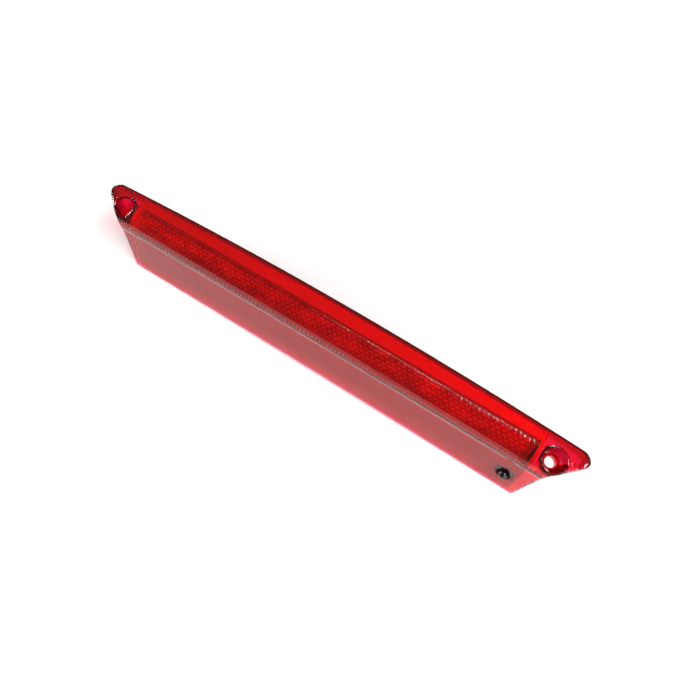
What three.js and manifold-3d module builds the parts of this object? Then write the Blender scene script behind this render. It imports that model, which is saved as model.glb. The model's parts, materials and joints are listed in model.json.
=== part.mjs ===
// Third brake light: a long red lamp for the top of a tailgate, with a washer jet in its underside.
//
// The lamp lies on its back. +X runs along it towards the jet's end, +Y towards its top edge and
// +Z out of the lens, along the two mounting screws. Z = 0 is the face of the foam seal.
// Millimetres throughout.
import * as THREE from 'three';
import { mergeVertices } from 'three/addons/utils/BufferGeometryUtils.js';
import Module from 'manifold-3d';

const wasm = await Module();
wasm.setup();

// ---------------------------------------------------------------- driving dimensions

const GAP = 0.3;                 // air between pieces that touch

const BOW_RADIUS = 3227;         // the whole lamp is bowed along X, its middle standing furthest out
const ARCH_RADIUS = 5211;        // the top edge also falls away towards the ends

const RIDGE = { y: 6.2, z: 51 };
const BAND = { height: 13.8, fall: 1.5 };           // upper band, from the ridge to the top edge
const NOSE_RADIUS = 15;                             // quarter-round face under the ridge
const LENS_BOTTOM = { y: -20, z: 4.6 };
const LENS_TOP_RIM_Z = 38;
const LENS_WALL = 2.5;

const HALF = { tip: 183, fold: 165.2, bottom: 159.6 };   // half lengths
const TIP = { y: 11.1, rx: 8, ry: 6, startAngle: -20 };  // each tip is an elliptical corner

const HOUSING = { halfLength: 155.1, wall: 1.9, backZ: 2, floor: 2.2, bottomY: -16.5 };
const LIGHT_OPENING = { topY: 8.6, bottomZ: 33 };   // the housing is open only behind the nose

const EAR = { x: 164.4, y: 3.0, rimR: 7.1, floorR: 4.9, holeR: 3.4, wall: 1.6, floorZ: 35.4, backZ: 29.9 };

// The washer jet. Its heights run along its own axis, 0 being the outer face of the lens there.
const JET = { x: 146.8, down: 0.52, holeR: 4.8 };
const JET_BALL = { r: 3.2, centre: -0.4, bore: 0.5, clearance: 0.15 };
const JET_COLLAR = { r: 3.9, top: 0.6, bottom: -2.4, chamfer: 0.5 };
const JET_BODY = { neckR: 4.5, neckTop: -0.2, floor: -2.8, flangeR: 6.4, flangeTop: -4.2, flangeT: 1.4, stemR: 4.1 };
const JET_GROMMET = { top: -2.8, bottom: -3.9 };
const JET_STEM_LENGTH = 12;
const SPIGOT = { r: 2, endZ: 0.6, barb: 0.5, taper: 2 };   // straight down from the jet's stem, for a hose
const HOSE_ROOM_R = 4.8;         // hole in the housing around the spigot, for the hose
const WATER_R = 0.8;

const BOARD = { halfLength: 139, y0: -2.6, y1: 11.4, z: 17.4, thickness: 1.6 };
const LED = { count: 12, pitch: 24, y: 4, size: 5, base: 2, domeR: 1.9, dome: 1.4 };
const POST = { xs: [-96, 0, 96], y: 4, r: 3 };
const BOARD_SCREW = { headR: 2.4, head: 1.5, shankR: 1.2, holeR: 1.5, length: 8, point: 1.4, cross: 1.3, slot: 0.7 };
const RESISTOR = { xs: [-120, -72, 72, 120], y: 10, length: 3.2, width: 1.6, height: 0.7 };
const DIODE = { x: -48, y: 10, length: 4.3, width: 2.6, height: 1.6 };

// The reflector is a trough: a floor with splayed sides that end at a low and a high edge.
const REFLECTOR = {
  halfLength: 152.8, z: 21.4, wall: 1.2, window: 6.4,
  floorY0: -3.2, floorY1: 10.5, low: { y: -4.4, z: 30 }, high: { y: 12.4, z: 41 },
};
const STRIP = { halfLength: 147.5, outerR: 10.8, wall: 2, sweep: 75, lip: 1.2 };

const SOCKET = { x: -60, y: 2, length: 15, width: 9, wall: 1.5, depth: 10, bottomZ: 0.5, keyW: 3, keyDepth: 4 };
const PIN = { offset: 3.6, size: 0.8, tipZ: 3.5 };

const VENT = { x: 70, y: 1, capR: 4, capT: 1.3, chamfer: 0.4, stemR: 1.6, snapIn: 0.8 };
const SEAL = { width: 5, inset: 1, topInset: 7 };
const BEYOND = 6;                // how far a section runs past the faces that trim it
const SKIRT = 14;                // how far the outlines run on below the bottom edge

// ---------------------------------------------------------------- materials

function material(color, roughness, metalness = 0) {
  return new THREE.MeshStandardMaterial({ color, roughness, metalness });
}

const MATERIAL = {
  lens: () => material(0xc4101c, 0.12),
  optic: () => material(0xd8202c, 0.2),
  housing: () => material(0xe4e4e0, 0.6),
  foam: () => material(0x26262a, 0.95),
  mirror: () => material(0xd2d4d6, 0.2, 1),
  board: () => material(0xe4e6e2, 0.55),
  led: () => material(0xf2e6c8, 0.35),
  chip: () => material(0x1b1b1d, 0.5),
  blackPlastic: () => material(0x141416, 0.3),
  rubber: () => material(0x202022, 0.8),
  tin: () => material(0xc8c9c6, 0.35, 1),
  steel: () => material(0xb4b6b8, 0.35, 1),
};

// ---------------------------------------------------------------- solids

function toSolid(geometry) {
  geometry.deleteAttribute('normal');
  geometry.deleteAttribute('uv');
  const merged = mergeVertices(geometry);
  return new wasm.Manifold(new wasm.Mesh({
    numProp: 3,
    vertProperties: new Float32Array(merged.attributes.position.array),
    triVerts: new Uint32Array(merged.index.array),
  }));
}

function toGeometry(solid) {
  const mesh = solid.getMesh();
  const geometry = new THREE.BufferGeometry();
  geometry.setAttribute('position', new THREE.BufferAttribute(mesh.vertProperties, 3));
  geometry.setIndex(new THREE.BufferAttribute(mesh.triVerts, 1));
  geometry.computeVertexNormals();
  return geometry;
}

function outline(points) {
  return new THREE.Shape(points.map(([a, b]) => new THREE.Vector2(a, b)));
}

// A prism of an X-Y outline between two heights.
function prismZ(shape, z0, z1) {
  const geometry = new THREE.ExtrudeGeometry(shape, { depth: z1 - z0, bevelEnabled: false, curveSegments: 10 });
  geometry.translate(0, 0, z0);
  return toSolid(geometry);
}

// A Y-Z profile swept along X, bent back with the lamp's bow unless it is a flat piece.
function sweepX(shape, x0, x1, steps = 16, bowed = true) {
  const geometry = new THREE.ExtrudeGeometry(shape, {
    depth: x1 - x0, steps, bevelEnabled: false, curveSegments: 10,
  });
  const axes = new THREE.Matrix4().makeBasis(
    new THREE.Vector3(0, 1, 0), new THREE.Vector3(0, 0, 1), new THREE.Vector3(1, 0, 0));
  geometry.applyMatrix4(axes);
  geometry.translate(x0, 0, 0);
  if (bowed) {
    const position = geometry.attributes.position;
    for (let i = 0; i < position.count; i += 1) {
      position.setZ(i, position.getZ(i) - bow(position.getX(i)));
    }
  }
  return toSolid(geometry);
}

function bow(x) {
  return (x * x) / (2 * BOW_RADIUS);
}

function block(x0, x1, y0, y1, z0, z1) {
  return prismZ(outline([[x0, y0], [x1, y0], [x1, y1], [x0, y1]]), z0, z1);
}

// A turned solid about the Z axis through (x, y); the profile holds [radius, z] points.
function turned(profile, x = 0, y = 0, segments = 32) {
  const geometry = new THREE.LatheGeometry(profile.map(([r, z]) => new THREE.Vector2(r, z)), segments);
  geometry.rotateX(Math.PI / 2);
  geometry.translate(x, y, 0);
  return toSolid(geometry);
}

function rod(radius, z0, z1, x = 0, y = 0, segments = 32) {
  return turned([[0, z0], [radius, z0], [radius, z1], [0, z1]], x, y, segments);
}

function ring(inner, outer, z0, z1, segments = 32) {
  return turned([[inner, z0], [outer, z0], [outer, z1], [inner, z1], [inner, z0]], 0, 0, segments);
}

function moved(solid, matrix) {
  return solid.transform(matrix.elements);
}

// ---------------------------------------------------------------- lamp section and front outline

const wallAlong = new THREE.Vector2(
  LENS_BOTTOM.y - (RIDGE.y - NOSE_RADIUS), LENS_BOTTOM.z - (RIDGE.z - NOSE_RADIUS)).normalize();
const wallOut = new THREE.Vector2(wallAlong.y, -wallAlong.x);

// The lens's front face, set in by some thickness, from above the band down to the bottom edge.
function frontFace(shape, inset, beyondTop, beyondBottom) {
  const slope = BAND.fall / BAND.height;
  const centre = { y: RIDGE.y, z: RIDGE.z - NOSE_RADIUS };
  shape.lineTo(RIDGE.y + beyondTop, RIDGE.z - inset - slope * beyondTop);
  shape.lineTo(RIDGE.y, RIDGE.z - inset);
  shape.absarc(centre.y, centre.z, NOSE_RADIUS - inset, Math.PI / 2, Math.PI, false);
  const start = new THREE.Vector2(RIDGE.y - NOSE_RADIUS, centre.z).addScaledVector(wallOut, -inset);
  const end = new THREE.Vector2(LENS_BOTTOM.y, LENS_BOTTOM.z)
    .addScaledVector(wallOut, -inset).addScaledVector(wallAlong, beyondBottom);
  shape.lineTo(start.x, start.y);
  shape.lineTo(end.x, end.y);
}

function lensSection() {
  const beyondTop = BAND.height + BEYOND;
  const rimSlope = (LENS_TOP_RIM_Z - LENS_BOTTOM.z) / (RIDGE.y + BAND.height - LENS_BOTTOM.y);
  const shape = new THREE.Shape();
  const topY = RIDGE.y + beyondTop;
  shape.moveTo(topY, LENS_BOTTOM.z + rimSlope * (topY - LENS_BOTTOM.y));
  frontFace(shape, 0, beyondTop, 0);
  return shape;
}

function innerSection(inset, backZ) {
  const beyondTop = BAND.height + BEYOND;
  const shape = new THREE.Shape();
  shape.moveTo(RIDGE.y + beyondTop, backZ);
  frontFace(shape, inset, beyondTop, SKIRT);
  shape.lineTo(LENS_BOTTOM.y, backZ);
  return shape;
}

// The lamp seen square on: a low trapezium with rounded tips and a gently arched top edge.
function frontOutline(inset) {
  const foldY = RIDGE.y - NOSE_RADIUS;
  const rake = (HALF.fold - HALF.bottom) / (foldY - LENS_BOTTOM.y);
  const belowX = HALF.bottom - inset - rake * SKIRT;
  const belowY = LENS_BOTTOM.y - SKIRT;
  const cornerX = HALF.tip - TIP.rx - inset;
  const ry = TIP.ry - inset;
  const start = THREE.MathUtils.degToRad(TIP.startAngle);
  const crownY = RIDGE.y + BAND.height - inset + (cornerX + inset) ** 2 / (2 * ARCH_RADIUS);
  const shape = new THREE.Shape();
  shape.moveTo(-belowX, belowY);
  shape.lineTo(belowX, belowY);
  shape.lineTo(HALF.fold - inset, foldY);
  shape.absellipse(cornerX, TIP.y, TIP.rx, ry, start, Math.PI / 2, false, 0);
  shape.quadraticCurveTo(0, crownY, -cornerX, TIP.y + ry);
  shape.absellipse(-cornerX, TIP.y, TIP.rx, ry, Math.PI / 2, Math.PI - start, false, 0);
  shape.lineTo(inset - HALF.fold, foldY);
  shape.closePath();
  return shape;
}

const FAR = 70;                  // further than any piece reaches, for cutting tools

function lampBody(section, inset, halfLength = HALF.tip + 5) {
  return sweepX(section, -halfLength, halfLength).intersect(prismZ(frontOutline(inset), -FAR, FAR));
}

// ---------------------------------------------------------------- washer jet placement

const jetPoint = new THREE.Vector3(
  JET.x,
  RIDGE.y - NOSE_RADIUS + JET.down * (LENS_BOTTOM.y - RIDGE.y + NOSE_RADIUS),
  RIDGE.z - NOSE_RADIUS + JET.down * (LENS_BOTTOM.z - RIDGE.z + NOSE_RADIUS) - bow(JET.x));
const jetTilt = Math.atan2(-wallOut.x, wallOut.y);
const jetFrame = new THREE.Matrix4().makeRotationX(jetTilt).setPosition(jetPoint);

// ---------------------------------------------------------------- lens

function screwCup(side) {
  const x = side * EAR.x;
  const cup = turned([
    [0, EAR.backZ], [EAR.floorR + EAR.wall, EAR.backZ], [EAR.rimR + EAR.wall, RIDGE.z], [0, RIDGE.z],
  ], x, EAR.y);
  const recess = turned([
    [0, EAR.backZ - 5], [EAR.holeR, EAR.backZ - 5], [EAR.holeR, EAR.floorZ], [EAR.floorR, EAR.floorZ],
    [EAR.rimR, RIDGE.z - bow(EAR.x)], [EAR.rimR, RIDGE.z + 5], [0, RIDGE.z + 5],
  ], x, EAR.y);
  return { cup, recess };
}

function lens() {
  const outer = lampBody(lensSection(), 0);
  let solid = outer.subtract(lampBody(innerSection(LENS_WALL, -FAR), LENS_WALL));
  for (const side of [-1, 1]) {
    const { cup, recess } = screwCup(side);
    solid = solid.add(cup.intersect(outer)).subtract(recess);
  }
  const jetHole = moved(rod(JET.holeR, -8, 8), jetFrame);
  return toGeometry(solid.subtract(jetHole));
}

// ---------------------------------------------------------------- housing

function housing() {
  const { halfLength, wall, backZ, floor, bottomY } = HOUSING;
  const innerHalf = halfLength - wall;
  const fit = LENS_WALL + GAP;
  const above = block(-halfLength, halfLength, bottomY, FAR, backZ, FAR);
  const below = block(-halfLength, halfLength, -FAR, bottomY + 1, backZ, FAR);
  const envelope = lampBody(innerSection(fit, -FAR), fit, halfLength);
  const outer = envelope.intersect(above.add(below));

  const cavity = lampBody(innerSection(fit + wall, -FAR), fit + wall, innerHalf)
    .intersect(block(-innerHalf, innerHalf, -FAR, FAR, backZ + floor, FAR));
  const { topY, bottomZ } = LIGHT_OPENING;
  const mouth = sweepX(outline([
    [-FAR, bottomZ], [topY, bottomZ], [topY, FAR], [-FAR, FAR],
  ]), -innerHalf, innerHalf);
  const jetPass = moved(rod(JET_BODY.flangeR + 0.4, -8, 0), jetFrame);

  let solid = outer.subtract(cavity).subtract(mouth);
  for (const x of POST.xs) {
    const post = rod(POST.r, backZ + floor - 1, BOARD.z - GAP, x, POST.y, 20);
    const pilot = rod(BOARD_SCREW.shankR + 0.15, BOARD.z - BOARD_SCREW.length, BOARD.z + 1, x, POST.y, 12);
    solid = solid.add(post).subtract(pilot);
  }
  const socketHole = block(
    SOCKET.x - SOCKET.length / 2 - GAP, SOCKET.x + SOCKET.length / 2 + GAP,
    SOCKET.y - SOCKET.width / 2 - GAP, SOCKET.y + SOCKET.width / 2 + GAP, 0, backZ + floor + 1);
  const ventHole = rod(VENT.stemR + GAP, 0, backZ + floor + 1, VENT.x, VENT.y, 20);
  const spigotHole = rod(HOSE_ROOM_R, 0, backZ + floor + 1, spigotPoint.x, spigotPoint.y, 24);
  return toGeometry(solid.subtract(socketHole).subtract(ventHole).subtract(spigotHole).subtract(jetPass));
}

function foamSeal() {
  const { halfLength, backZ, bottomY } = HOUSING;
  const x = halfLength - SEAL.inset;
  const y0 = bottomY + SEAL.inset;
  const y1 = RIDGE.y + BAND.height - SEAL.topInset;
  const shape = outline([[-x, y0], [x, y0], [x, y1], [-x, y1]]);
  const { width } = SEAL;
  shape.holes.push(new THREE.Path([[-x + width, y0 + width], [-x + width, y1 - width],
    [x - width, y1 - width], [x - width, y0 + width]].map(([a, b]) => new THREE.Vector2(a, b))));
  const hosePass = rod(HOSE_ROOM_R + 0.4, -1, backZ, spigotPoint.x, spigotPoint.y, 24);
  return toGeometry(prismZ(shape, 0, backZ - GAP).subtract(hosePass));
}

function vent() {
  const { x, y, capR, capT, chamfer, stemR, snapIn } = VENT;
  const top = HOUSING.backZ + HOUSING.floor + snapIn;
  return toGeometry(turned([
    [0, GAP], [capR - chamfer, GAP], [capR, GAP + chamfer], [capR, GAP + capT],
    [stemR, GAP + capT], [stemR, top], [0, top],
  ], x, y, 24));
}

// ---------------------------------------------------------------- light unit

// A curved textured strip that sits just behind the nose and spreads the light of the LEDs.
function opticStrip() {
  const { halfLength, outerR, wall, sweep, lip } = STRIP;
  const end = Math.PI / 2 + THREE.MathUtils.degToRad(sweep);
  const centre = { y: RIDGE.y, z: RIDGE.z - NOSE_RADIUS };
  const shape = new THREE.Shape();
  shape.moveTo(centre.y + lip, centre.z + outerR - wall);
  shape.lineTo(centre.y + lip, centre.z + outerR);
  shape.absarc(centre.y, centre.z, outerR, Math.PI / 2, end, false);
  shape.absarc(centre.y, centre.z, outerR - wall, end, Math.PI / 2, true);
  return toGeometry(sweepX(shape, -halfLength, halfLength, 12));
}

function ledXs() {
  return Array.from({ length: LED.count }, (_, i) => (i - (LED.count - 1) / 2) * LED.pitch);
}

// Mirror-coated trough in front of the board, closed at its ends, with a window for each LED.
function reflector() {
  const { halfLength, z, wall, window, floorY0, floorY1, low, high } = REFLECTOR;
  const channel = outline([
    [floorY0, z], [floorY1, z], [high.y, high.z], [high.y - wall, high.z], [floorY1 - wall, z + wall],
    [floorY0 + wall, z + wall], [low.y + wall, low.z], [low.y, low.z],
  ]);
  let solid = sweepX(channel, -halfLength, halfLength, 1, false);
  const endWall = outline([[floorY0, z], [floorY1, z], [high.y, high.z], [low.y, low.z]]);
  solid = solid.add(sweepX(endWall, -halfLength, wall - halfLength, 1, false))
    .add(sweepX(endWall, halfLength - wall, halfLength, 1, false));
  for (const x of ledXs()) {
    const half = window / 2;
    solid = solid.subtract(block(x - half, x + half, LED.y - half, LED.y + half, z - 2, z + 4));
  }
  return toGeometry(solid);
}

function board() {
  const { halfLength, y0, y1, z, thickness } = BOARD;
  let solid = block(-halfLength, halfLength, y0, y1, z, z + thickness);
  for (const x of POST.xs) {
    solid = solid.subtract(rod(BOARD_SCREW.holeR, z - 1, z + thickness + 1, x, POST.y, 16));
  }
  return toGeometry(solid);
}

function led(x) {
  const z = BOARD.z + BOARD.thickness + GAP;
  const half = LED.size / 2;
  const base = block(x - half, x + half, LED.y - half, LED.y + half, z, z + LED.base);
  const dome = turned([
    [0, z + 1], [LED.domeR, z + 1], [LED.domeR, z + LED.base],
    [LED.domeR * 0.75, z + LED.base + LED.dome * 0.75], [0, z + LED.base + LED.dome],
  ], x, LED.y, 12);
  return toGeometry(base.add(dome));
}

function chip({ length, width, height }, x, y) {
  const z = BOARD.z + BOARD.thickness + GAP;
  return toGeometry(block(x - length / 2, x + length / 2, y - width / 2, y + width / 2, z, z + height));
}

function boardScrew(x) {
  const z = BOARD.z + BOARD.thickness + GAP;
  const { headR, head, shankR, length, point, cross, slot } = BOARD_SCREW;
  const body = turned([
    [0, z - length], [shankR * 0.4, z - length], [shankR, z - length + point], [shankR, z],
    [headR, z], [headR, z + head * 0.6], [headR * 0.6, z + head], [0, z + head],
  ], x, POST.y, 16);
  const halfSlot = slot / 2;
  const slotFloor = z + head / 2;
  const recess = block(x - cross, x + cross, POST.y - halfSlot, POST.y + halfSlot, slotFloor, FAR)
    .add(block(x - halfSlot, x + halfSlot, POST.y - cross, POST.y + cross, slotFloor, FAR));
  return toGeometry(body.subtract(recess));
}

// ---------------------------------------------------------------- connector

function socket() {
  const { x, y, length, width, wall, depth, bottomZ, keyW, keyDepth } = SOCKET;
  const top = BOARD.z - GAP;
  const body = block(x - length / 2, x + length / 2, y - width / 2, y + width / 2, bottomZ, top);
  const hollow = block(x - length / 2 + wall, x + length / 2 - wall,
    y - width / 2 + wall, y + width / 2 - wall, bottomZ - 1, bottomZ + depth);
  let solid = body.subtract(hollow);
  for (const side of [-1, 1]) {
    const half = PIN.size / 2 + GAP;
    const px = x + side * PIN.offset;
    solid = solid.subtract(block(px - half, px + half, y - half, y + half, bottomZ, top + 1));
  }
  const keyway = block(x - keyW / 2, x + keyW / 2, y + width / 2 - wall - 1, y + width / 2 + 1,
    bottomZ - 1, bottomZ + keyDepth);
  return toGeometry(solid.subtract(keyway));
}

function pin(side) {
  const x = SOCKET.x + side * PIN.offset;
  const half = PIN.size / 2;
  return toGeometry(block(x - half, x + half, SOCKET.y - half, SOCKET.y + half, PIN.tipZ, BOARD.z - GAP));
}

// ---------------------------------------------------------------- washer jet
// These are drawn about the jet's own axis, and then moved into the lens's hole.

const spigotPoint = new THREE.Vector3(0, 0, 2 - JET_STEM_LENGTH).applyMatrix4(jetFrame);

// A cup that carries the collar. Its neck fills the lens's hole and its flange presses on the grommet.
function jetBody() {
  const { neckR, neckTop, floor, flangeR, flangeTop, flangeT, stemR } = JET_BODY;
  const boreR = JET_COLLAR.r + JET_BALL.clearance;
  const flangeBottom = flangeTop - flangeT;
  const wellR = 2.6;               // room for the underside of the ball
  const wellFloor = JET_BALL.centre - JET_BALL.r - 0.4;
  const body = turned([
    [0, -JET_STEM_LENGTH], [stemR - 1, -JET_STEM_LENGTH], [stemR, 1 - JET_STEM_LENGTH],
    [stemR, flangeBottom - 1], [flangeR, flangeBottom], [flangeR, flangeTop], [neckR, flangeTop],
    [neckR, neckTop], [boreR, neckTop], [boreR, floor], [wellR, floor], [wellR - 0.6, wellFloor],
    [0, wellFloor],
  ]);
  const { x, y, z } = spigotPoint;
  const { r, endZ, barb, taper } = SPIGOT;
  const spigot = turned([
    [0, endZ], [r - barb, endZ], [r + barb, endZ + taper], [r, endZ + taper + 0.2], [r, z], [0, z],
  ], x, y, 16);
  const axialWay = moved(rod(WATER_R, 1.3 - JET_STEM_LENGTH, 0, 0, 0, 8), jetFrame);
  const spigotWay = rod(WATER_R, -1, z + 0.4, x, y, 12);
  return toGeometry(moved(body, jetFrame).add(spigot).subtract(axialWay).subtract(spigotWay));
}

function jetGrommet() {
  return toGeometry(moved(ring(JET.holeR, JET_BODY.flangeR, JET_GROMMET.bottom, JET_GROMMET.top), jetFrame));
}

// The collar holds the ball in a round seat and turns in the body.
function jetCollar() {
  const { r, top, bottom, chamfer } = JET_COLLAR;
  const seatR = JET_BALL.r + JET_BALL.clearance;
  const steps = 7;
  const seat = Array.from({ length: steps + 1 }, (_, i) => {
    const z = top + ((bottom - top) * i) / steps;
    return [Math.sqrt(seatR ** 2 - (z - JET_BALL.centre) ** 2), z];
  });
  const profile = [[r, bottom], [r, top - chamfer], [r - chamfer, top], ...seat, [r, bottom]];
  return toGeometry(moved(turned(profile), jetFrame));
}

function jetBall() {
  const ball = new THREE.SphereGeometry(JET_BALL.r, 24, 14);
  ball.rotateX(Math.PI / 2);
  ball.translate(0, 0, JET_BALL.centre);
  const way = rod(JET_BALL.bore, -8, 8, 0, 0, 10);
  return toGeometry(moved(toSolid(ball).subtract(way), jetFrame));
}

// ---------------------------------------------------------------- assembly

const group = new THREE.Group();

function add(name, geometry, finish) {
  const mesh = new THREE.Mesh(geometry, finish());
  mesh.name = name;
  group.add(mesh);
}

add('lens', lens(), MATERIAL.lens);
add('rear_housing', housing(), MATERIAL.housing);
add('foam_seal', foamSeal(), MATERIAL.foam);
add('vent_cap', vent(), MATERIAL.blackPlastic);
add('optic_strip', opticStrip(), MATERIAL.optic);
add('reflector', reflector(), MATERIAL.mirror);
add('led_board', board(), MATERIAL.board);
ledXs().forEach((x, i) => add(`led_${i + 1}`, led(x), MATERIAL.led));
RESISTOR.xs.forEach((x, i) => add(`resistor_${i + 1}`, chip(RESISTOR, x, RESISTOR.y), MATERIAL.chip));
add('diode', chip(DIODE, DIODE.x, DIODE.y), MATERIAL.chip);
POST.xs.forEach((x, i) => add(`board_screw_${i + 1}`, boardScrew(x), MATERIAL.steel));
add('connector_socket', socket(), MATERIAL.blackPlastic);
add('terminal_1', pin(-1), MATERIAL.tin);
add('terminal_2', pin(1), MATERIAL.tin);
add('jet_body', jetBody(), MATERIAL.blackPlastic);
add('jet_grommet', jetGrommet(), MATERIAL.rubber);
add('jet_collar', jetCollar(), MATERIAL.blackPlastic);
add('jet_ball', jetBall(), MATERIAL.blackPlastic);

export default group;
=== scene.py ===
"""Looks of the third brake light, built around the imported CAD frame. Shapes are worked out in millimetres,
in the CAD frame, and mesh_from scales them to metres. The camera and the lights are in metres."""

import json
import math

import bmesh
import bpy
import numpy as np
from mathutils import Matrix, Vector


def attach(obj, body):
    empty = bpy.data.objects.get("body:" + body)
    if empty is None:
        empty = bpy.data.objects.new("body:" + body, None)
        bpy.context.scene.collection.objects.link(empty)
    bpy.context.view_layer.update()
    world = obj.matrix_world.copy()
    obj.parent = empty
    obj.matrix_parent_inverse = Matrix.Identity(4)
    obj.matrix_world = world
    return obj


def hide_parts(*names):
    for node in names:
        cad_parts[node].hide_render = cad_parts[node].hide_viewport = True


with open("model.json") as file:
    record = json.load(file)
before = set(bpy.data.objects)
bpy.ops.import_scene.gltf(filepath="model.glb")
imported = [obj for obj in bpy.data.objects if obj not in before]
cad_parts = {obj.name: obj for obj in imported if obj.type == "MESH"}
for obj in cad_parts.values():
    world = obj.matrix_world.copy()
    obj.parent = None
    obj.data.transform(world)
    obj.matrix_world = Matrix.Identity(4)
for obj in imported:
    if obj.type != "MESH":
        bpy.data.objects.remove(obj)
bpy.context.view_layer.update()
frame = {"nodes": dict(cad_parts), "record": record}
nodes = frame["nodes"]

MM = 0.001
MERGE_WITHIN = 0.001 * MM

# ---------------------------------------------------------------- lamp shape, in millimetres, as in the CAD

BOW_R = 3227.0
ARCH_R = 5211.0
RIDGE_Y, RIDGE_Z = 6.2, 51.0
BAND_H, BAND_FALL = 13.8, 1.5
NOSE_R = 15.0
BOTTOM_Y, BOTTOM_Z = -20.0, 4.6
TOP_RIM_Z = 38.0
WALL = 2.5
EDGE_WALL = 1.2
HALF_TIP, HALF_FOLD, HALF_BOTTOM = 183.0, 165.2, 159.6
TIP_Y, TIP_RX, TIP_RY, TIP_START = 11.1, 8.0, 6.0, math.radians(-20)

EAR_X, EAR_Y = 164.4, 3.0
CUP_RIM_R, CUP_FLOOR_R, HOLE_R, CUP_WALL = 7.1, 4.9, 3.4, 1.6
CUP_FLOOR_Z, CUP_BACK_Z = 35.4, 29.9

JET_X, JET_DOWN, JET_HOLE_R = 146.8, 0.52, 4.8
BALL_R, BALL_Z, BALL_BORE_R, BALL_CLEARANCE = 3.2, -0.4, 0.5, 0.15
COLLAR_R, COLLAR_TOP, COLLAR_BOTTOM = 3.9, 0.6, -2.4
NECK_R, NECK_TOP, BORE_FLOOR = 4.5, -0.2, -2.8
WELL_TOP_R, WELL_FLOOR_R, WELL_GAP = 2.6, 2.0, 0.4
FLANGE_R, FLANGE_TOP, FLANGE_T, STEM_R, STEM_LENGTH = 6.4, -4.2, 1.4, 4.1, 12.0
GROMMET_TOP, GROMMET_BOTTOM = -2.8, -3.9
SPIGOT_R, SPIGOT_END_Z, SPIGOT_BARB, SPIGOT_TAPER = 2.0, 0.6, 0.5, 2.0
WATER_R = 0.8

STRIP_HALF, STRIP_R, STRIP_WALL, STRIP_SWEEP, STRIP_LIP = 147.5, 10.8, 2.0, math.radians(75), 1.2
STRIP_LIP_DROP = 0.3

# Detail that only the visual model has: ribs, crowns along the ridge, pillows and rounded edges.

RIB_PITCH = 3.0
BAND_RIB_DEPTH, WALL_RIB_DEPTH = 0.2, 0.04
COLUMNS_PER_RIB = 8
SCALLOP_R, SCALLOP_W = 3.0, 1.4
SCALLOP_REACH = 1.6 * SCALLOP_W
PILLOW_LONG, PILLOW_HIGH, PILLOW_RISE = 4.0, 2.36, 0.5
COLUMNS_PER_PILLOW = 6
EDGE_R = 1.1
EASE_WIDTHS = {
    "rear_housing": 0.35, "foam_seal": 0.4, "vent_cap": 0.12,
    "connector_socket": 0.25, "led_board": 0.12, "reflector": 0.12,
}

# Shapes worked out from the above: s runs over the section from 0 at the ridge, below 0 up the band.

NOSE_Z = RIDGE_Z - NOSE_R
WALL_START = np.array([RIDGE_Y - NOSE_R, NOSE_Z])
WALL_ALONG = np.array([BOTTOM_Y, BOTTOM_Z]) - WALL_START
WALL_LENGTH = float(np.hypot(*WALL_ALONG))
WALL_ALONG = WALL_ALONG / WALL_LENGTH
WALL_OUT = np.array([WALL_ALONG[1], -WALL_ALONG[0]])
BAND_LENGTH = math.hypot(BAND_H, BAND_FALL)
NOSE_LENGTH = NOSE_R * math.pi / 2
RIM_SLOPE = (TOP_RIM_Z - BOTTOM_Z) / (RIDGE_Y + BAND_H - BOTTOM_Y)
RIM_CUTBACK = (WALL_OUT[1] - RIM_SLOPE * WALL_OUT[0]) / (RIM_SLOPE * WALL_ALONG[0] - WALL_ALONG[1])


def bow(x):
    """How far the lamp, which is bowed along its length, has dropped at x."""
    return x * x / (2 * BOW_R)


def section(s, x, inset):
    """Point and outward normal (y, z) of the lens section at arc length s from the ridge, set in by inset."""
    if s <= 0:
        height = BAND_H - min(inset, EDGE_WALL)
        arch = 1 - x * x / (2 * ARCH_R * height)
        share = -s / BAND_LENGTH
        normal = np.array([BAND_FALL, BAND_H]) / BAND_LENGTH
        y = RIDGE_Y + height * share * arch
        z = RIDGE_Z - BAND_FALL * share * height / BAND_H - inset
        return y, z - bow(x), normal
    if s <= NOSE_LENGTH:
        angle = s / NOSE_R
        normal = np.array([-math.sin(angle), math.cos(angle)])
        radius = NOSE_R - inset
        return RIDGE_Y + radius * normal[0], NOSE_Z + radius * normal[1] - bow(x), normal
    along = (s - NOSE_LENGTH) * (1 - RIM_CUTBACK * inset / WALL_LENGTH)
    y, z = WALL_START + along * WALL_ALONG - inset * WALL_OUT
    return y, z - bow(x), WALL_OUT


def half_length(y, inset):
    """Half the lamp's length at height y, set in by inset at the ends."""
    start_y = TIP_Y + TIP_RY * math.sin(TIP_START)
    start_x = HALF_TIP - TIP_RX + TIP_RX * math.cos(TIP_START)
    fold_y = WALL_START[0]
    if y <= fold_y:
        lean = (HALF_FOLD - HALF_BOTTOM) / (fold_y - BOTTOM_Y)
        return HALF_BOTTOM + lean * (y - BOTTOM_Y) - inset
    if y <= start_y:
        return HALF_FOLD + (start_x - HALF_FOLD) * (y - fold_y) / (start_y - fold_y) - inset
    rise = min(1.0, (y - TIP_Y) / (TIP_RY - inset)) if y > TIP_Y else (y - TIP_Y) / TIP_RY
    return HALF_TIP - TIP_RX + TIP_RX * math.sqrt(1 - rise * rise) - inset


def rim_z(x, y):
    """Height of the lens's rear rim, which slopes from the bottom edge up to the top wall."""
    return BOTTOM_Z + RIM_SLOPE * (y - BOTTOM_Y) - bow(x)


def front_z(x, y):
    """Height of the lens's outer face over a place on the band or the nose."""
    if y >= RIDGE_Y:
        return RIDGE_Z - BAND_FALL / BAND_H * (y - RIDGE_Y) - bow(x)
    drop = RIDGE_Y - y
    return NOSE_Z + math.sqrt(max(0.0, NOSE_R**2 - drop * drop)) - bow(x)


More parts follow.
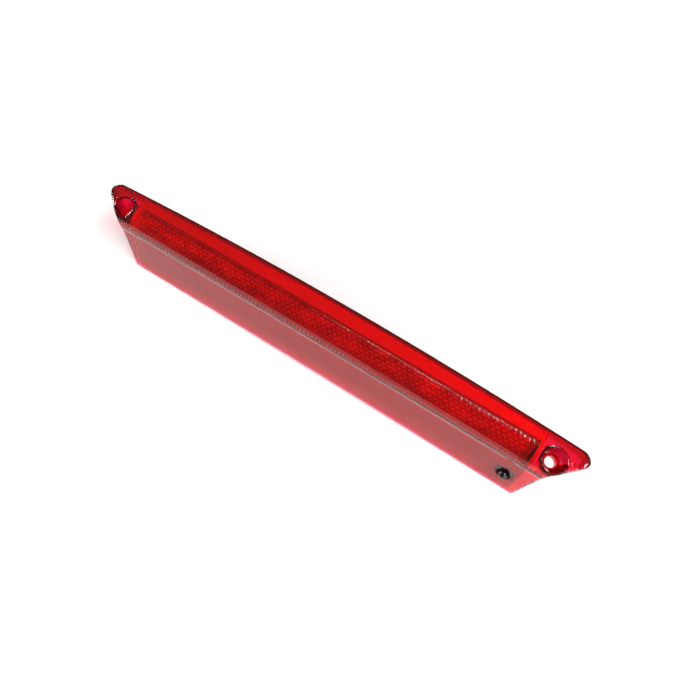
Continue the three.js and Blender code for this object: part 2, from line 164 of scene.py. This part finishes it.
def jet_matrix():
    """Places things drawn about +Z, 0 being the lens's outer face, on the jet's axis."""
    y, z = WALL_START + JET_DOWN * WALL_LENGTH * WALL_ALONG
    tilt = math.atan2(-WALL_OUT[0], WALL_OUT[1])
    return Matrix.Translation((JET_X, y, z - bow(JET_X))) @ Matrix.Rotation(tilt, 4, "X")


# ---------------------------------------------------------------- helpers

def link(name, mesh):
    """A new object of the mesh, in the scene."""
    piece = bpy.data.objects.new(name, mesh)
    bpy.context.scene.collection.objects.link(piece)
    return piece


def mesh_from(name, points_mm, faces):
    """A closed mesh from points in millimetres, with doubled points merged and faces turned outward."""
    mesh = bpy.data.meshes.new(name)
    mesh.from_pydata([tuple(p) for p in np.asarray(points_mm) * MM], [], faces)
    bm = bmesh.new()
    bm.from_mesh(mesh)
    bmesh.ops.remove_doubles(bm, verts=bm.verts, dist=MERGE_WITHIN)
    bmesh.ops.dissolve_degenerate(bm, dist=MERGE_WITHIN / 10, edges=bm.edges)
    bmesh.ops.recalc_face_normals(bm, faces=bm.faces)
    if bm.calc_volume(signed=True) < 0:
        bmesh.ops.reverse_faces(bm, faces=bm.faces)
    bm.to_mesh(mesh)
    bm.free()
    return mesh


def place(piece, body, node):
    """Sets the body the piece rides on and hides the CAD node that it stands in for."""
    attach(piece, body)
    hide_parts(node)


def smooth(piece, degrees=35):
    """Smooth shading, with edges sharper than the angle kept sharp."""
    piece.data.shade_smooth()
    piece.data.set_sharp_from_angle(angle=math.radians(degrees))


def rings_mesh(name, rings, wrapped=False):
    """Joins equal rings of points (mm) into a closed body; wrapped joins the last ring to the first."""
    count = len(rings[0])
    points = [p for ring in rings for p in ring]
    faces = []
    last = len(rings) - 1
    pairs = [(a, a + 1) for a in range(last)]
    if wrapped:
        pairs.append((last, 0))
    for a, b in pairs:
        for i in range(count):
            j = (i + 1) % count
            faces.append((a * count + i, a * count + j, b * count + j, b * count + i))
    if not wrapped:
        faces.append(tuple(range(count)))
        faces.append(tuple(last * count + i for i in range(count)))
    return mesh_from(name, points, faces)


def around(radius, angle, x, y):
    """The point at an angle on a circle about (x, y)."""
    return x + radius * math.cos(angle), y + radius * math.sin(angle)


def turned_rings(profile, matrix, count=72):
    """Rings of a body turned about +Z from (radius, z) rows, placed by matrix."""
    rings = []
    for radius, z in profile:
        ring = [matrix @ Vector((*around(max(radius, 1e-4), 2 * math.pi * i / count, 0, 0), z))
                for i in range(count)]
        rings.append([tuple(p) for p in ring])
    return rings


def apply_boolean(piece, tool, operation):
    """Cuts or joins piece with tool and removes tool."""
    modifier = piece.modifiers.new("cut", "BOOLEAN")
    modifier.operation = operation
    modifier.solver = "MANIFOLD"
    modifier.object = tool
    dg = bpy.context.evaluated_depsgraph_get()
    result = bpy.data.meshes.new_from_object(piece.evaluated_get(dg))
    piece.modifiers.clear()
    old = piece.data
    piece.data = result
    bpy.data.meshes.remove(old)
    bpy.data.objects.remove(tool)


# ---------------------------------------------------------------- materials

PLASTIC_IOR = 1.46


def new_material(name):
    """A new material with its node tree, its Principled shader and its output."""
    made = bpy.data.materials.new(name)
    made.use_nodes = True
    tree = made.node_tree
    tree.nodes.clear()
    output = tree.nodes.new("ShaderNodeOutputMaterial")
    shader = tree.nodes.new("ShaderNodeBsdfPrincipled")
    tree.links.new(shader.outputs["BSDF"], output.inputs["Surface"])
    return made, tree, shader, output


def noise(tree, scale, detail, stretch=(1, 1, 1)):
    """A noise value in object space, scale being its waves per metre."""
    where = tree.nodes.new("ShaderNodeTexCoord")
    mapping = tree.nodes.new("ShaderNodeMapping")
    mapping.inputs["Scale"].default_value = stretch
    texture = tree.nodes.new("ShaderNodeTexNoise")
    texture.inputs["Scale"].default_value = scale
    texture.inputs["Detail"].default_value = detail
    texture.inputs["Roughness"].default_value = 0.6
    tree.links.new(where.outputs["Object"], mapping.inputs["Vector"])
    tree.links.new(mapping.outputs["Vector"], texture.inputs["Vector"])
    return texture.outputs["Fac"]


def ramp(tree, value, low, high, colours):
    """Maps value between low and high onto two colours or two grey levels."""
    node = tree.nodes.new("ShaderNodeValToRGB")
    for element, position, colour in zip(node.color_ramp.elements, (low, high), colours):
        element.position = position
        element.color = (*colour, 1) if isinstance(colour, tuple) else (colour, colour, colour, 1)
    tree.links.new(value, node.inputs["Fac"])
    return node.outputs["Color"]


def bump(tree, shader, value, distance):
    """Raises the surface by distance, in metres, where value is 1."""
    node = tree.nodes.new("ShaderNodeBump")
    node.inputs["Distance"].default_value = distance
    tree.links.new(value, node.inputs["Height"])
    tree.links.new(node.outputs["Normal"], shader.inputs["Normal"])


def moulded(name, dark, light, rough, grain_scale=900, grain_depth=4e-5, metal=0.0, shine=0.5):
    """An opaque moulded or metal finish: patchy colour, uneven gloss and a fine surface grain."""
    made, tree, shader, _ = new_material(name)
    patches = noise(tree, 35, 4)
    grain = noise(tree, grain_scale, 2)
    tree.links.new(ramp(tree, patches, 0.3, 0.75, (dark, light)), shader.inputs["Base Color"])
    tree.links.new(ramp(tree, grain, 0.25, 0.75, rough), shader.inputs["Roughness"])
    shader.inputs["Metallic"].default_value = metal
    shader.inputs["Specular IOR Level"].default_value = shine
    bump(tree, shader, grain, grain_depth)
    return made


def plus_attribute(tree, value, attribute, weight):
    """The value plus weight times one of the mesh's attributes."""
    reader = tree.nodes.new("ShaderNodeAttribute")
    reader.attribute_name = attribute
    add = tree.nodes.new("ShaderNodeMath")
    add.operation = "MULTIPLY_ADD"
    add.inputs[1].default_value = weight
    tree.links.new(reader.outputs["Fac"], add.inputs[0])
    tree.links.new(value, add.inputs[2])
    return add.outputs["Value"]


def clear_red(name, surface, passed, rough, wave_depth, clear=1.0, patches=60, fluted_rough=0.0,
              pillow_painted_light=0.0):
    """Transparent red plastic, coloured in its depth, so that thick and slanting parts look darker.
    One lens wall lets through the shares of red, green and blue in passed. Light from the studio's
    lamps passes straight through its surfaces, so that it reaches the inside.
    Faces whose 'fluted' attribute is 1 are more matt. The tops of pillows ('crest') are painted paler and the
    hollows between them darker: a painted highlight and painted shade."""
    made, tree, shader, output = new_material(name)
    smears = noise(tree, patches, 5, stretch=(0.4, 1, 1))
    # The crest attribute adds painted highlight on the pillows' tops and painted shade in their hollows to
    # the random smears.
    tint = plus_attribute(tree, smears, "crest", pillow_painted_light)
    tree.links.new(ramp(tree, tint, 0.35, 0.75 + pillow_painted_light / 2, surface), shader.inputs["Base Color"])
    gloss = ramp(tree, smears, 0.4, 0.8, rough)
    tree.links.new(plus_attribute(tree, gloss, "fluted", fluted_rough), shader.inputs["Roughness"])
    shader.inputs["Transmission Weight"].default_value = clear
    shader.inputs["IOR"].default_value = PLASTIC_IOR
    bump(tree, shader, noise(tree, 220, 2), wave_depth)
    through = tree.nodes.new("ShaderNodeBsdfTransparent")
    path = tree.nodes.new("ShaderNodeLightPath")
    mix = tree.nodes.new("ShaderNodeMixShader")
    tree.links.new(path.outputs["Is Shadow Ray"], mix.inputs["Fac"])
    tree.links.new(shader.outputs["BSDF"], mix.inputs[1])
    tree.links.new(through.outputs["BSDF"], mix.inputs[2])
    tree.links.new(mix.outputs["Shader"], output.inputs["Surface"])
    absorb = [-math.log(share) / (WALL * MM) for share in passed]
    depth = tree.nodes.new("ShaderNodeVolumeAbsorption")
    depth.inputs["Density"].default_value = max(absorb)
    depth.inputs["Color"].default_value = (*(1 - a / max(absorb) for a in absorb), 1)
    tree.links.new(depth.outputs["Volume"], output.inputs["Volume"])
    return made


LENS_RED = clear_red(
    "lens_red", surface=((0.95, 0.9, 0.9), (1.0, 1.0, 1.0)), passed=(0.69, 0.006, 0.045),
    rough=(0.03, 0.07), wave_depth=6e-6, fluted_rough=0.2)
# The strip's pillow tops are painted paler and its hollows darker: a painted highlight and painted shade.
OPTIC_RED = clear_red(
    "optic_red", surface=((0.3, 0.01, 0.016), (1.0, 0.32, 0.34)), passed=(0.9, 0.25, 0.3),
    rough=(0.04, 0.12), wave_depth=4e-5, clear=0.3, patches=130, pillow_painted_light=0.35)
HOUSING = moulded("housing_white", (0.8, 0.8, 0.78), (0.87, 0.87, 0.85), (0.4, 0.62), 1400, 3e-5)
FOAM = moulded("foam_black", (0.01, 0.01, 0.011), (0.03, 0.03, 0.032), (0.85, 1.0), 2200, 3e-4)
MIRROR = moulded("mirror_coating", (0.8, 0.81, 0.82), (0.9, 0.9, 0.91), (0.4, 0.6), 300, 6e-5, metal=0.4)
BOARD = moulded("board_white", (0.7, 0.71, 0.69), (0.82, 0.83, 0.8), (0.35, 0.55), 1600, 1e-5)
LED = moulded("led_cream", (0.8, 0.7, 0.45), (0.9, 0.84, 0.66), (0.15, 0.35), 900, 1e-5)
CHIP = moulded("chip_black", (0.01, 0.01, 0.011), (0.03, 0.03, 0.03), (0.4, 0.6), 2000, 2e-5)
BLACK = moulded("black_plastic", (0.003, 0.003, 0.004), (0.009, 0.009, 0.01), (0.05, 0.16), 700, 4e-6)
SATIN_BLACK = moulded("black_satin", (0.003, 0.003, 0.004), (0.008, 0.008, 0.009), (0.3, 0.5), 700, 4e-6,
                      shine=0.03)
RUBBER = moulded("rubber_black", (0.012, 0.012, 0.013), (0.03, 0.03, 0.031), (0.6, 0.85), 1500, 5e-5,
                 shine=0.3)
TIN = moulded("tin_plate", (0.5, 0.5, 0.48), (0.68, 0.68, 0.66), (0.2, 0.42), 1500, 1e-5, metal=1.0)
STEEL = moulded("steel_zinc", (0.42, 0.43, 0.45), (0.6, 0.61, 0.62), (0.22, 0.45), 1200, 2e-5, metal=1.0)
FLOOR = moulded("floor_pale", (0.95, 0.95, 0.95), (0.97, 0.97, 0.97), (0.7, 0.9), 40, 1e-5)

FINISHES = {
    "housing_white": HOUSING, "foam_black": FOAM, "mirror_coating": MIRROR, "board_white": BOARD,
    "led_cream": LED, "chip_black": CHIP, "black_plastic": BLACK, "rubber_black": RUBBER,
    "tin_plate": TIN, "steel_zinc": STEEL, "lens_red": LENS_RED, "optic_red": OPTIC_RED,
}


def dress_cad_nodes():
    """Gives every CAD node its slot's finish; the ones that are replaced later are hidden anyway."""
    for row in frame["record"]["subparts"]:
        data = nodes[row["node"]].data
        data.materials.clear()
        data.materials.append(FINISHES[row["material_slot"]])


# ---------------------------------------------------------------- lens

def section_rows():
    """Arc lengths of the lens's rows, from the top edge over the ridge and nose to the bottom edge."""
    band = -BAND_LENGTH + np.array([0, 0.15, 0.4, 0.8, 1.2, 2.5, 5, 8, 10.9])
    bead = np.linspace(-SCALLOP_REACH, SCALLOP_REACH, 15)
    nose = np.linspace(SCALLOP_REACH + 0.5, NOSE_LENGTH - 0.25, 13)
    wall = NOSE_LENGTH + WALL_LENGTH * np.array([0, 0.008, 0.25, 0.5, 0.75, 1])
    return np.concatenate([band, bead, nose, wall])


def rib(x):
    """0 in the valley between two ribs and 1 on a rib's crown."""
    across = (x / RIB_PITCH) % 1.0
    return 1 - (2 * across - 1) ** 2


def scallop(x):
    """Height of the row of round crowns, one on each rib, that runs along the ridge."""
    off_centre = (x / RIB_PITCH % 1.0 - 0.5) * RIB_PITCH
    edge = RIB_PITCH / 2
    return math.sqrt(SCALLOP_R**2 - off_centre**2) - math.sqrt(SCALLOP_R**2 - edge**2)


def rounded(distance):
    """How far an outer face drops this near an edge of radius EDGE_R."""
    if distance >= EDGE_R:
        return 0.0
    return EDGE_R - math.sqrt(max(0.0, EDGE_R**2 - (EDGE_R - distance) ** 2))


def lens_end(s, side_inset):
    """The x at which a row of the lens meets the lamp's end."""
    low, high = 140.0, HALF_TIP + 1
    for _ in range(30):
        x = (low + high) / 2
        y = section(s, x, side_inset)[0]
        if x < half_length(y, side_inset):
            low = x
        else:
            high = x
    return low


def outer_point(s, x, end):
    """A point of the lens's outer face, on a row that ends at end."""
    y, z, normal = section(s, x, 0.0)
    near = min((end - abs(x)) * 0.75, s + BAND_LENGTH)      # the rounding reaches further in at the ends
    offset = -rounded(near)
    offset += scallop(x) * math.exp(-((s / SCALLOP_W) ** 2))
    return x, y + normal[0] * offset, z + normal[1] * offset


def inner_point(s, x):
    """A point of the lens's ribbed inner face."""
    y, z, normal = section(s, x, WALL)
    offset = -rib(x) * (BAND_RIB_DEPTH if s <= NOSE_LENGTH else WALL_RIB_DEPTH)
    return x, y + normal[0] * offset, z + normal[1] * offset


def rim_point(point):
    """The place on the rear rim below a point of the lens's border."""
    x, y, z = point
    return x, y, min(rim_z(x, y), z)


def lens_mesh():
    """The lens as a closed shell: an outer and an inner grid, joined by walls down to the rear rim."""
    rows = section_rows()
    step = RIB_PITCH / COLUMNS_PER_RIB
    columns = np.arange(-HALF_TIP, HALF_TIP + step / 2, step)
    high, wide = len(rows), len(columns)
    outer = np.zeros((high, wide, 3))
    inner = np.zeros((high, wide, 3))
    for i, s in enumerate(rows):
        outer_end = lens_end(s, 0.0)
        inner_end = lens_end(s, WALL if s > NOSE_LENGTH else EDGE_WALL)
        for j, x in enumerate(columns):
            outer[i, j] = outer_point(s, float(np.clip(x, -outer_end, outer_end)), outer_end)
            inner[i, j] = inner_point(s, float(np.clip(x, -inner_end, inner_end)))

    border = [(i, 0) for i in range(high - 1, 0, -1)]
    border += [(0, j) for j in range(wide - 1)]
    border += [(i, wide - 1) for i in range(high)]
    outer_rim = [rim_point(outer[p]) for p in border]
    inner_rim = [rim_point(inner[p]) for p in border]
    points = np.concatenate([outer.reshape(-1, 3), inner.reshape(-1, 3), outer_rim, inner_rim])

    to_inner = high * wide
    outer_edge = [i * wide + j for i, j in border]
    inner_edge = [number + to_inner for number in outer_edge]
    outer_foot = [2 * to_inner + k for k in range(len(border))]
    inner_foot = [number + len(border) for number in outer_foot]
    faces = []
    for i in range(high - 1):
        for j in range(wide - 1):
            a = i * wide + j
            d = a + wide
            faces.append((a, d, d + 1, a + 1))
            faces.append((a + to_inner, a + 1 + to_inner, d + 1 + to_inner, d + to_inner))
    lines = [outer_edge, outer_foot, inner_foot, inner_edge]
    for k in range(len(border) - 1):
        for upper, lower in zip(lines, lines[1:]):
            faces.append((upper[k], upper[k + 1], lower[k + 1], lower[k]))
    last = (high - 1) * wide
    for j in range(last, last + wide - 1):
        faces.append((j, j + 1, j + 1 + to_inner, j + to_inner))
    return mesh_from("lens_shell", points, faces)


def flute_inside(lens):
    """Marks the ribbed inner faces behind the band and below the nose, which are matt with fine flutes."""
    marks = lens.data.attributes.new("fluted", "FLOAT", "FACE")
    for face in lens.data.polygons:
        x, y, z = face.center / MM
        on_band = y > RIDGE_Y and z < front_z(x, y) - WALL / 2
        depth = float(np.dot(np.array([y, z + bow(x)]) - WALL_START, WALL_OUT))
        on_wall = y < WALL_START[0] and depth < -WALL / 2
        marks.data[face.index].value = 1.0 if on_band or on_wall else 0.0


def crease_fold(lens):
    """Keeps the fold between the nose and the lower wall sharp."""
    on_fold = []
    for vertex in lens.data.vertices:
        x, y, z = vertex.co / MM
        on_fold.append(math.hypot(y - WALL_START[0], z + bow(x) - WALL_START[1]) < 0.01)
    for edge in lens.data.edges:
        if all(on_fold[v] for v in edge.vertices):
            edge.use_edge_sharp = True


def cup_rings(side, profile, count=72):
    """Rings of a cup or its cutter from (radius, height, True if that height is from the lens face) rows."""
    rings = []
    for radius, height, on_face in profile:
        ring = []
        for i in range(count):
            px, py = around(radius, 2 * math.pi * i / count, side * EAR_X, EAR_Y)
            ring.append((px, py, front_z(px, py) + height if on_face else height))
        rings.append(ring)
    return rings


def add_ears(lens):
    """Adds the two screw cups and cuts their recesses and holes."""
    for side in (-1, 1):
        back_r = CUP_FLOOR_R + CUP_WALL
        cup = [(back_r - 0.5, CUP_BACK_Z, False), (back_r, CUP_BACK_Z + 0.5, False),
               (CUP_RIM_R + CUP_WALL, -1.3, True), (CUP_RIM_R - 2, -1.3, True)]
        tool = link("cup", rings_mesh("cup", cup_rings(side, cup)))
        apply_boolean(lens, tool, "UNION")
        recess = [(HOLE_R + 0.4, CUP_BACK_Z - 3, False), (HOLE_R + 0.4, CUP_BACK_Z, False),
                  (HOLE_R, CUP_BACK_Z + 0.4, False), (HOLE_R, CUP_FLOOR_Z - 0.4, False),
                  (HOLE_R + 0.35, CUP_FLOOR_Z, False), (CUP_FLOOR_R - 0.5, CUP_FLOOR_Z, False),
                  (CUP_FLOOR_R, CUP_FLOOR_Z + 0.5, False), (CUP_RIM_R, -0.75, True),
                  (CUP_RIM_R + 0.12, -0.4, True), (CUP_RIM_R + 0.4, -0.12, True),
                  (CUP_RIM_R + 0.9, 0.06, True), (CUP_RIM_R + 0.9, 8, True)]
        tool = link("recess", rings_mesh("recess", cup_rings(side, recess)))
        apply_boolean(lens, tool, "DIFFERENCE")


def make_lens():
    """The lens with its ears and the jet's hole, in one red plastic."""
    lens = link("lens_shell", lens_mesh())
    add_ears(lens)
    hole = [(JET_HOLE_R, -6), (JET_HOLE_R, -0.35), (JET_HOLE_R + 0.1, -0.12), (JET_HOLE_R + 0.4, 0.05),
            (JET_HOLE_R + 0.4, 4)]
    apply_boolean(lens, link("hole", rings_mesh("hole", turned_rings(hole, jet_matrix()))), "DIFFERENCE")
    lens.data.materials.clear()
    lens.data.materials.append(LENS_RED)
    flute_inside(lens)
    smooth(lens, 32)
    crease_fold(lens)
    place(lens, "lamp", "lens")


# ---------------------------------------------------------------- optic strip

def pillow(x, angle):
    """Height of the pillows, from 0 between them to 1 on their tops; each row is half a pillow along."""
    place_across = STRIP_R * angle / PILLOW_HIGH
    place_along = x / PILLOW_LONG + (math.floor(place_across) % 2) / 2
    return abs(math.sin(math.pi * place_across) * math.sin(math.pi * place_along))


def mark_crests(strip):
    """Marks how near to a pillow's top each point of the strip is. The strip's colour uses it to paint a
    highlight on the tops and shade between them.
    """
    marks = strip.data.attributes.new("crest", "FLOAT", "POINT")
    for vertex in strip.data.vertices:
        x, y, z = vertex.co / MM
        angle = math.atan2(RIDGE_Y - y, z + bow(x) - NOSE_Z)
        marks.data[vertex.index].value = pillow(x, max(0.0, angle))


def make_strip():
    """The curved strip behind the nose, with rows of pillow optics moulded on its outer face."""
    columns = int(2 * STRIP_HALF / PILLOW_LONG * COLUMNS_PER_PILLOW) + 1
    angles = np.linspace(0, STRIP_SWEEP, 37)
    rings = []
    for x in np.linspace(-STRIP_HALF, STRIP_HALF, columns):
        end_fade = min(1.0, (STRIP_HALF - abs(x)) / 0.5)
        ring = [(x, RIDGE_Y + STRIP_LIP, NOSE_Z + STRIP_R - STRIP_LIP_DROP - bow(x))]
        for angle in angles:
            radius = STRIP_R - PILLOW_RISE * (1 - pillow(x, angle)) * end_fade
            ring.append((x, RIDGE_Y - radius * math.sin(angle), NOSE_Z + radius * math.cos(angle) - bow(x)))
        inner = STRIP_R - STRIP_WALL
        for angle in angles[::-4]:
            ring.append((x, RIDGE_Y - inner * math.sin(angle), NOSE_Z + inner * math.cos(angle) - bow(x)))
        ring.append((x, RIDGE_Y + STRIP_LIP, NOSE_Z + inner - bow(x)))
        rings.append(ring)
    strip = link("optic_strip_pillowed", rings_mesh("optic_strip_pillowed", rings))
    strip.data.materials.append(OPTIC_RED)
    mark_crests(strip)
    smooth(strip, 50)
    place(strip, "lamp", "optic_strip")


# ---------------------------------------------------------------- washer jet

def turned_piece(name, profile, wrapped, finish):
    """A piece of the jet turned about its axis from (radius, z) rows."""
    piece = link(name, rings_mesh(name, turned_rings(profile, jet_matrix(), 96), wrapped=wrapped))
    piece.data.materials.append(finish)
    return piece


def arc_rows(radius, centre_z, start, end, count):
    """(radius, z) rows along an arc about the jet's axis, its angles measured from the axis."""
    return [(radius * math.sin(a), centre_z + radius * math.cos(a)) for a in np.linspace(start, end, count)]


def make_ball():
    """The ball with its water bore and rounded mouths."""
    mouth = math.asin((BALL_BORE_R + 0.12) / BALL_R)
    rows = arc_rows(BALL_R, BALL_Z, mouth, math.pi - mouth, 48)
    rows += [(BALL_BORE_R, BALL_Z - BALL_R + 0.3), (BALL_BORE_R, BALL_Z + BALL_R - 0.3)]
    ball = turned_piece("jet_ball_turned", rows, True, BLACK)
    smooth(ball, 40)
    place(ball, "ball", "jet_ball")


def make_collar():
    """The ring that holds the ball in a round seat."""
    seat_r = BALL_R + BALL_CLEARANCE
    top_angle = math.acos((COLLAR_TOP - 0.15 - BALL_Z) / seat_r)
    bottom_angle = math.acos((COLLAR_BOTTOM - BALL_Z) / seat_r)
    rows = [(COLLAR_R - 0.15, COLLAR_BOTTOM), (COLLAR_R, COLLAR_BOTTOM + 0.15), (COLLAR_R, COLLAR_TOP - 0.4),
            (COLLAR_R - 0.12, COLLAR_TOP - 0.12), (COLLAR_R - 0.35, COLLAR_TOP),
            (seat_r * math.sin(top_angle) + 0.12, COLLAR_TOP)]
    rows += arc_rows(seat_r, BALL_Z, top_angle, bottom_angle, 16)
    collar = turned_piece("jet_collar_turned", rows, True, SATIN_BLACK)
    smooth(collar, 40)
    place(collar, "collar", "jet_collar")


def make_jet_body():
    """The neck, flange and stem behind the lens, with the barbed hose spigot and the two water ways."""
    bore_r = COLLAR_R + BALL_CLEARANCE
    flange_bottom = FLANGE_TOP - FLANGE_T
    well_floor = BALL_Z - BALL_R - WELL_GAP
    rows = [(0, -STEM_LENGTH), (STEM_R - 1, -STEM_LENGTH), (STEM_R - 0.3, 0.3 - STEM_LENGTH),
            (STEM_R, 1 - STEM_LENGTH), (STEM_R, flange_bottom - 1), (FLANGE_R - 0.2, flange_bottom),
            (FLANGE_R, flange_bottom + 0.2), (FLANGE_R, FLANGE_TOP - 0.2), (FLANGE_R - 0.2, FLANGE_TOP),
            (NECK_R, FLANGE_TOP), (NECK_R, NECK_TOP - 0.12), (NECK_R - 0.12, NECK_TOP),
            (bore_r + 0.1, NECK_TOP), (bore_r, NECK_TOP - 0.1), (bore_r, BORE_FLOOR),
            (WELL_TOP_R, BORE_FLOOR), (WELL_FLOOR_R, well_floor), (0, well_floor)]
    body = turned_piece("jet_body_moulded", rows, False, SATIN_BLACK)
    x, y, z = jet_matrix() @ Vector((0, 0, 2 - STEM_LENGTH))
    barb_z = SPIGOT_END_Z + SPIGOT_TAPER
    spigot = [(0, SPIGOT_END_Z), (SPIGOT_R - SPIGOT_BARB - 0.15, SPIGOT_END_Z),
              (SPIGOT_R - SPIGOT_BARB, SPIGOT_END_Z + 0.15), (SPIGOT_R + SPIGOT_BARB, barb_z),
              (SPIGOT_R, barb_z + 0.2), (SPIGOT_R, z), (0, z)]
    upright = Matrix.Translation((x, y, 0))
    apply_boolean(body, link("spigot", rings_mesh("spigot", turned_rings(spigot, upright, 48))), "UNION")
    down = [(WATER_R, -1), (WATER_R, z + 0.4)]
    apply_boolean(body, link("way", rings_mesh("way", turned_rings(down, upright, 32))), "DIFFERENCE")
    along = [(WATER_R, 1.3 - STEM_LENGTH), (WATER_R, 0)]
    apply_boolean(body, link("way", rings_mesh("way", turned_rings(along, jet_matrix(), 32))), "DIFFERENCE")
    body.data.materials.clear()
    body.data.materials.append(SATIN_BLACK)
    smooth(body, 40)
    place(body, "lamp", "jet_body")


def make_grommet():
    """The rubber ring between the lens and the jet's flange, rounded on the outside."""
    height = (GROMMET_TOP - GROMMET_BOTTOM) / 2
    middle = (GROMMET_TOP + GROMMET_BOTTOM) / 2
    rows = [(JET_HOLE_R, GROMMET_BOTTOM + 0.1), (JET_HOLE_R, GROMMET_TOP - 0.1),
            (JET_HOLE_R + 0.1, GROMMET_TOP)]
    rows += [(FLANGE_R - height + height * math.cos(a), middle + height * math.sin(a))
             for a in np.linspace(math.pi / 2, -math.pi / 2, 13)]
    rows += [(JET_HOLE_R + 0.1, GROMMET_BOTTOM)]
    grommet = turned_piece("jet_grommet_ring", rows, True, RUBBER)
    smooth(grommet, 40)
    place(grommet, "lamp", "jet_grommet")


# ---------------------------------------------------------------- eased edges on the plain moulded pieces

def ease_edges(node, width_mm):
    """A copy of a CAD node with its flat faces joined up and its edges rounded, in place of the plain one."""
    row = next(r for r in frame["record"]["subparts"] if r["node"] == node)
    source = nodes[node]
    mesh = source.data.copy()
    mesh.transform(source.matrix_world)
    piece = link(node + "_eased", mesh)
    bm = bmesh.new()
    bm.from_mesh(mesh)
    bmesh.ops.remove_doubles(bm, verts=bm.verts, dist=MERGE_WITHIN)
    bmesh.ops.dissolve_limit(bm, angle_limit=math.radians(1.5), verts=bm.verts, edges=bm.edges)
    bm.to_mesh(mesh)
    bm.free()
    modifier = piece.modifiers.new("ease", "BEVEL")
    modifier.width = width_mm * MM
    modifier.segments = 2
    modifier.limit_method = "ANGLE"
    modifier.angle_limit = math.radians(38)
    dg = bpy.context.evaluated_depsgraph_get()
    piece.data = bpy.data.meshes.new_from_object(piece.evaluated_get(dg))
    piece.modifiers.clear()
    piece.data.materials.clear()
    piece.data.materials.append(FINISHES[row["material_slot"]])
    smooth(piece)
    place(piece, "lamp", node)


# ---------------------------------------------------------------- camera, floor and light

CAMERA_AT = Vector((0.1005, -0.0813, 0.3722))
CAMERA_TARGET = Vector((0.0277, -0.0030, 0.0450))
CAMERA_ROLL = math.radians(33.578)
CAMERA_LENS = 28.27
FLOOR_R, FLOOR_TOP, FLOOR_BOTTOM = 2200.0, -0.02, -12.0


def make_camera():
    """A camera looking down on the lamp from its jet's end, rolled so that the lamp lies across the view."""
    data = bpy.data.cameras.new("camera")
    data.lens = CAMERA_LENS
    data.sensor_width = 36
    data.clip_start, data.clip_end = 0.01, 20
    camera = bpy.data.objects.new("camera", data)
    bpy.context.scene.collection.objects.link(camera)
    back = (CAMERA_AT - CAMERA_TARGET).normalized()
    right = Vector((0, 1, 0)).cross(back).normalized()
    level = Matrix((right, back.cross(right), back)).transposed()
    turn = Matrix.Rotation(CAMERA_ROLL, 3, "Z")
    camera.matrix_world = Matrix.Translation(CAMERA_AT) @ (level @ turn).to_4x4()
    bpy.context.scene.camera = camera


def make_floor():
    """A wide round slab under the lamp, in millimetres like the pieces."""
    ring = [around(FLOOR_R, 2 * math.pi * i / 64, 0, 0) for i in range(64)]
    rings = [[(x, y, z) for x, y in ring] for z in (FLOOR_BOTTOM, FLOOR_TOP)]
    floor = link("floor", rings_mesh("floor", rings))
    floor.data.materials.append(FLOOR)


def softbox(name, at, width, height, watts, target=None):
    """An area light aimed at target, or straight down without one."""
    data = bpy.data.lights.new(name, "AREA")
    data.shape = "RECTANGLE"
    data.size, data.size_y = width, height
    data.energy = watts
    light = bpy.data.objects.new(name, data)
    bpy.context.scene.collection.objects.link(light)
    light.location = at
    if target:
        light.rotation_euler = (Vector(at) - Vector(target)).to_track_quat("Z", "Y").to_euler()


def make_light():
    """Three soft boxes and a dim sky. The ridge's crowns mirror the key box to the camera."""
    middle = (0, 0, 0)
    softbox("key_box", (1.15, 0.35, 1.6), 0.6, 1.2, 44)
    softbox("right_box", (1.4, -0.9, 0.9), 0.8, 0.8, 14, middle)
    softbox("left_box", (-2.3, -0.7, 0.9), 0.8, 1.0, 58, middle)
    world = bpy.data.worlds.new("studio")
    world.use_nodes = True
    sky = world.node_tree.nodes["Background"]
    sky.inputs["Color"].default_value = (1, 1, 1, 1)
    sky.inputs["Strength"].default_value = 0.18
    bpy.context.scene.world = world
    bpy.context.scene.view_settings.view_transform = "Standard"


# ---------------------------------------------------------------- scene

make_camera()
make_floor()
make_light()
dress_cad_nodes()
make_lens()
make_strip()
make_jet_body()
make_grommet()
make_collar()
make_ball()
for eased_node, ease_width in EASE_WIDTHS.items():
    ease_edges(eased_node, ease_width)
